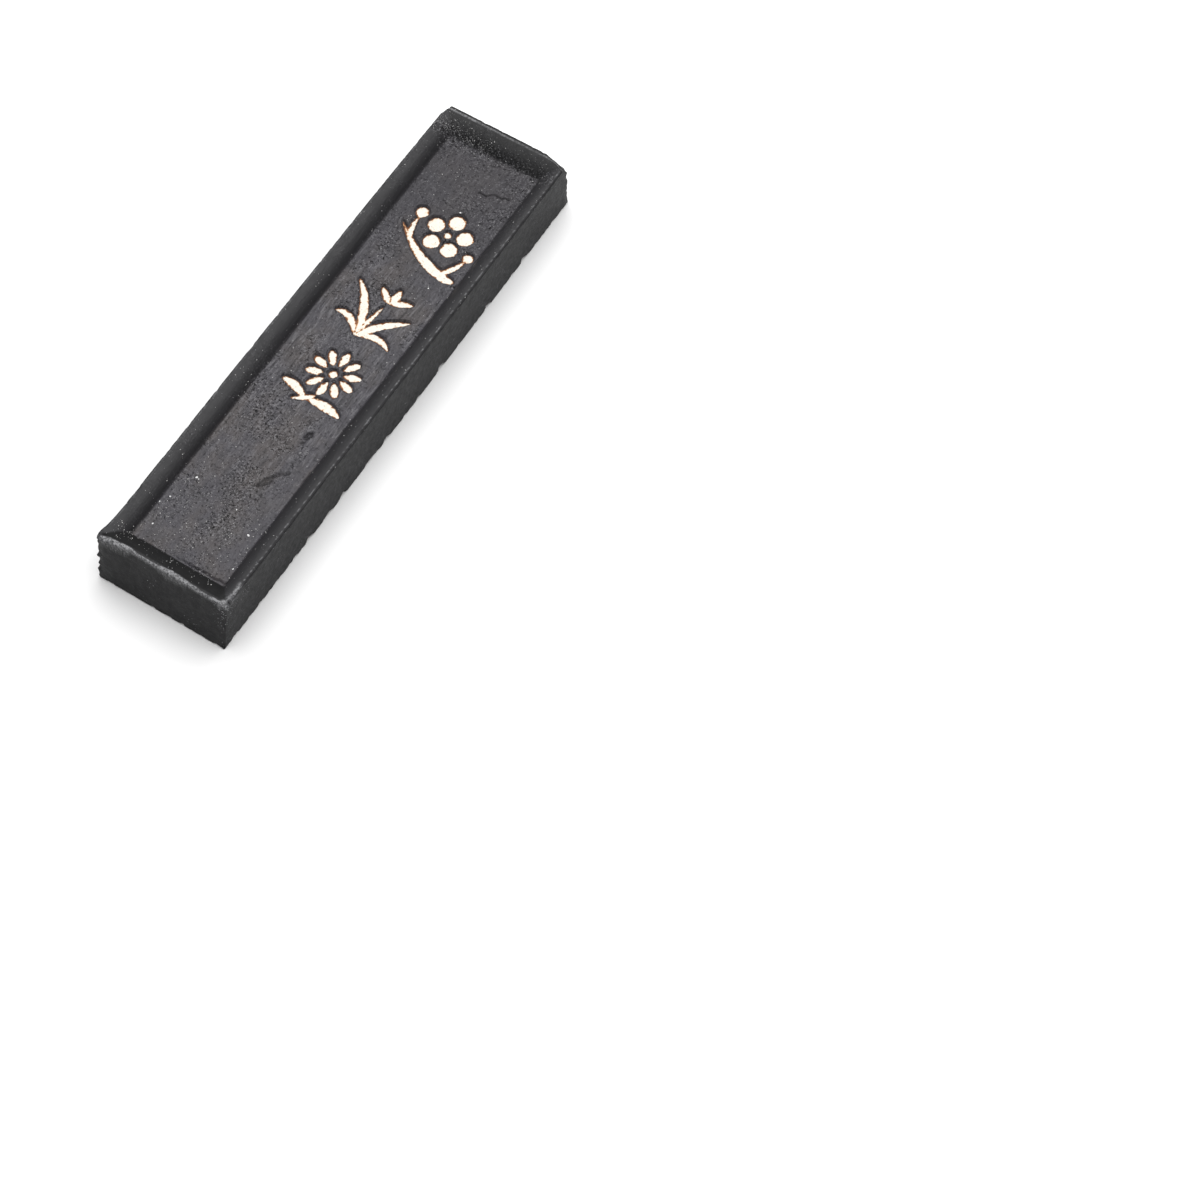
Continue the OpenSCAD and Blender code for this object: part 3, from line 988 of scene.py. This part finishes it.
def filmMesh(node, discs):
    lowest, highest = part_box(node)
    floorZ = lowest.z / mm
    thick = (highest.z - lowest.z) / mm
    step = film["step"]
    lowXY = (discs[:, :2] - discs[:, 2:]).min(0) - 2 * step
    highXY = (discs[:, :2] + discs[:, 2:]).max(0) + 2 * step
    nx = int((highXY[0] - lowXY[0]) / step) + 2
    ny = int((highXY[1] - lowXY[1]) / step) + 2
    spots = np.array([(lowXY[0] + i * step, lowXY[1] + j * step) for j in range(ny) for i in range(nx)])
    flat = np.c_[spots, np.zeros(len(spots))]
    away = outside(spots - film["shift"], discs) + film["margin"]
    away += film["ragged"] * (rough(flat, 0.7, 61) + 0.7 * rough(flat, 0.3, 62))
    verts, thins, made = [], [], {}

    def point(key, xy, depth):
        if key not in made:
            rise = smoothStep(depth, 0, film["rise"])
            wave = noise.noise(Vector((xy[0] * 2.2, xy[1] * 1.1, 5.0)))
            top = floorZ + thick * (0.12 + 0.8 * rise) + film["streak"] * wave * rise
            made[key] = len(verts)
            verts.append((xy[0], xy[1], top))
            thins.append(1 - smoothStep(depth, 0.0, 0.46))
        return made[key]

    def corner(k):
        return point(k, spots[k], -away[k])

    def crossing(a, b):
        a, b = min(a, b), max(a, b)
        t = away[a] / (away[a] - away[b])
        return point((a, b), spots[a] + (spots[b] - spots[a]) * t, 0.0)

    faces = []
    for j in range(ny - 1):
        for i in range(nx - 1):
            around = [j * nx + i, j * nx + i + 1, (j + 1) * nx + i + 1, (j + 1) * nx + i]
            if all(away[k] >= 0 for k in around):
                continue
            loop = []
            for a, b in zip(around, around[1:] + around[:1]):
                if away[a] < 0:
                    loop.append(corner(a))
                if (away[a] < 0) != (away[b] < 0):
                    loop.append(crossing(a, b))
            if len(loop) > 2:
                faces.append(tuple(loop))
    count = len(verts)
    verts += [(x, y, floorZ - film["sink"]) for x, y, _ in verts]
    edges = {(a, b) for face in faces for a, b in zip(face, face[1:] + face[:1])}
    walls = [(b, a, a + count, b + count) for a, b in edges if (b, a) not in edges]
    faces += [tuple(k + count for k in reversed(face)) for face in faces] + sorted(walls)
    return np.array(verts) * mm, faces, thins + thins


print("ink stick: spreading the gold")
for node, discs in ornaments.items():
    verts, faces, thins = filmMesh(node, discs)
    words = node.split("_")
    piece = newPiece(words[0] + "".join(word.capitalize() for word in words[1:]), verts, faces)
    paint(piece, "thin", thins)
    piece.data.shade_smooth()
    piece.data.materials.append(gold)
    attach(piece, "root")
    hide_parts(node)


# Dust: grains put on the cake by a node tree.

dust = {"density": 6.0, "smallest": 0.025, "largest": 0.085, "seed": 8}
dustLook = {  # size and spread of the patches, dark, light, roughness
    "settled": (2.0, 0.1, (0.13, 0.13, 0.14, 1), (0.5, 0.49, 0.48, 1), 0.8),
    "bright": (2.0, 0.1, (0.7, 0.7, 0.7, 1), (0.85, 0.85, 0.84, 1), 0.8),
}
looseGrains = [  # x, y and radius of the few that catch the eye, in mm
    (6.3, -32.7, 0.19),
    (-5.6, -28.5, 0.17),
    (-5.2, -28.6, 0.1),
    (-6.5, -38.3, 0.13),
    (-7.8, -34.7, 0.11),
    (-7.0, -33.2, 0.13),
    (7.6, -38.5, 0.12),
    (2.4, -30.0, 0.1),
    (1.2, 31.0, 0.12),
    (4.6, 17.0, 0.11),
]


def grainTree(name, material, scattered):
    # scattered: over the faces, as thick as the dust there; otherwise one at each point
    tree = newGeometryTree(name, {"density": 0.0, "smallest": 0.0, "largest": 0.0,
                                  "seed": 0, "material": material})
    add, calc = nodeTools(tree)
    given = add("NodeGroupInput").outputs
    ball = add("GeometryNodeMeshIcoSphere", named={"Radius": mm, "Subdivisions": 1}).outputs[0]
    if scattered:
        dusty = add("GeometryNodeInputNamedAttribute", "dusty", data_type="FLOAT").outputs[0]
        amount = calc("*", dusty, given["density"], 1.0 / (mm * mm))
        spots = add("GeometryNodeDistributePointsOnFaces", distribute_method="RANDOM",
                    named={"Mesh": given["Geometry"], "Density": amount, "Seed": given["seed"]})
        size = add("FunctionNodeRandomValue", data_type="FLOAT",
                   named={"Min": 0.0, "Max": 1.0, "Seed": given["seed"]})
        spread = calc("POWER", size.outputs[1], 4.0)
        extra = calc("*", spread, calc("-", given["largest"], given["smallest"]))
        width = calc("+", given["smallest"], extra)
    else:
        spots = add("GeometryNodeMeshToPoints", named={"Mesh": given["Geometry"]})
        width = add("GeometryNodeInputNamedAttribute", "grainSize", data_type="FLOAT").outputs[0]
    scale = add("ShaderNodeCombineXYZ", width, calc("*", width, 1.4), calc("*", width, 0.6))
    spun = add("FunctionNodeRandomValue", data_type="FLOAT_VECTOR",
               named={"Seed": calc("+", given["seed"], 1.0)})
    spun.inputs[0].default_value = (0, 0, 0)
    spun.inputs[1].default_value = (0.5, 0.5, 6.28)
    grains = add("GeometryNodeInstanceOnPoints", named={"Points": spots.outputs[0], "Instance": ball,
                 "Rotation": spun.outputs[0], "Scale": scale.outputs[0]})
    real = add("GeometryNodeRealizeInstances", grains.outputs[0])
    done = add("GeometryNodeSetMaterial", real.outputs[0], named={"Material": given["material"]})
    add("NodeGroupOutput", done.outputs[0])
    return tree


def layDust():
    scattered = newObject("dustGrains", inkCake.data.copy())
    settled = mottledMaterial("settledDust", *dustLook["settled"])
    runTree(scattered, grainTree("dustGrains", settled, True), {**dust, "material": settled})
    sunk = readPoints(scattered)
    sunk[:, 2] = np.minimum(sunk[:, 2], topZ * mm)
    writePoints(scattered, sunk)

    top = points[onTop]
    verts = []
    for x, y, radius in looseGrains:
        below = top[np.argmin(np.hypot(top[:, 0] - x, top[:, 1] - y))]
        verts.append((x * mm, y * mm, below[2] * mm))
    loose = newPiece("looseGrains", verts, [])
    paint(loose, "grainSize", [radius for x, y, radius in looseGrains])
    bright = mottledMaterial("brightDust", *dustLook["bright"])
    runTree(loose, grainTree("looseGrains", bright, False), {"seed": dust["seed"], "material": bright})
    for piece in (scattered, loose):
        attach(piece, "root")


print("ink stick: dust")
layDust()


# Floor, light and camera.

setting = {
    "floorSize": 3.0,
    "floorShades": ((0.90, 0.90, 0.90, 1), (0.93, 0.93, 0.93, 1)),
    "turn": 32.03,        # degrees round from the stick's own front
    "tilt": 59.19,        # degrees above the floor
    "distance": 0.649,
    "aim": (0.0520, -0.0108, 0.0),
    "lens": 135.0,
    "boxTurn": 183.0,     # the soft box hangs level above, a little behind the stick
    "boxBack": 0.38,
    "boxHeight": 0.8,
    "boxSize": 1.3,
    "boxPower": 16.0,
    "ambient": 0.22,
}


def fromSetting(turn, tilt, away, target):
    a, e = math.radians(turn), math.radians(tilt)
    back = Vector((math.sin(a) * math.cos(e), -math.cos(a) * math.cos(e), math.sin(e)))
    return Vector(target) + back * away


def pointAt(obj, target):
    obj.rotation_euler = (Vector(target) - obj.location).to_track_quat("-Z", "Y").to_euler()


def buildStage():
    half = setting["floorSize"] / 2
    floor = newPiece("floor", [(-half, -half, 0), (half, -half, 0), (half, half, 0), (-half, half, 0)],
                     [(0, 1, 2, 3)])
    pale = mottledMaterial("paleFloor", 40.0, 0.2, *setting["floorShades"], 0.9, specular=0.1)
    floor.data.materials.append(pale)

    world = bpy.data.worlds.new("softRoom")
    world.use_nodes = True
    shade = world.node_tree.nodes["Background"]
    shade.inputs["Color"].default_value = (1.0, 1.0, 1.0, 1)
    shade.inputs["Strength"].default_value = setting["ambient"]
    bpy.context.scene.world = world

    box = bpy.data.lights.new("softBox", "AREA")
    box.shape = "SQUARE"
    box.size = setting["boxSize"]
    box.energy = setting["boxPower"]
    boxObject = newObject("softBox", box)
    boxObject.location = fromSetting(setting["boxTurn"], 0, setting["boxBack"], (0, 0, setting["boxHeight"]))
    boxObject.rotation_euler = (0, 0, math.radians(setting["turn"]))

    camera = bpy.data.cameras.new("camera")
    camera.lens = setting["lens"]
    camera.sensor_width = 36.0
    camera.clip_start = 0.01
    cameraObject = newObject("camera", camera)
    cameraObject.location = fromSetting(setting["turn"], setting["tilt"], setting["distance"], setting["aim"])
    pointAt(cameraObject, setting["aim"])
    bpy.context.scene.camera = cameraObject
    bpy.context.scene.view_settings.view_transform = "Standard"


print("ink stick: floor, light and camera")
buildStage()
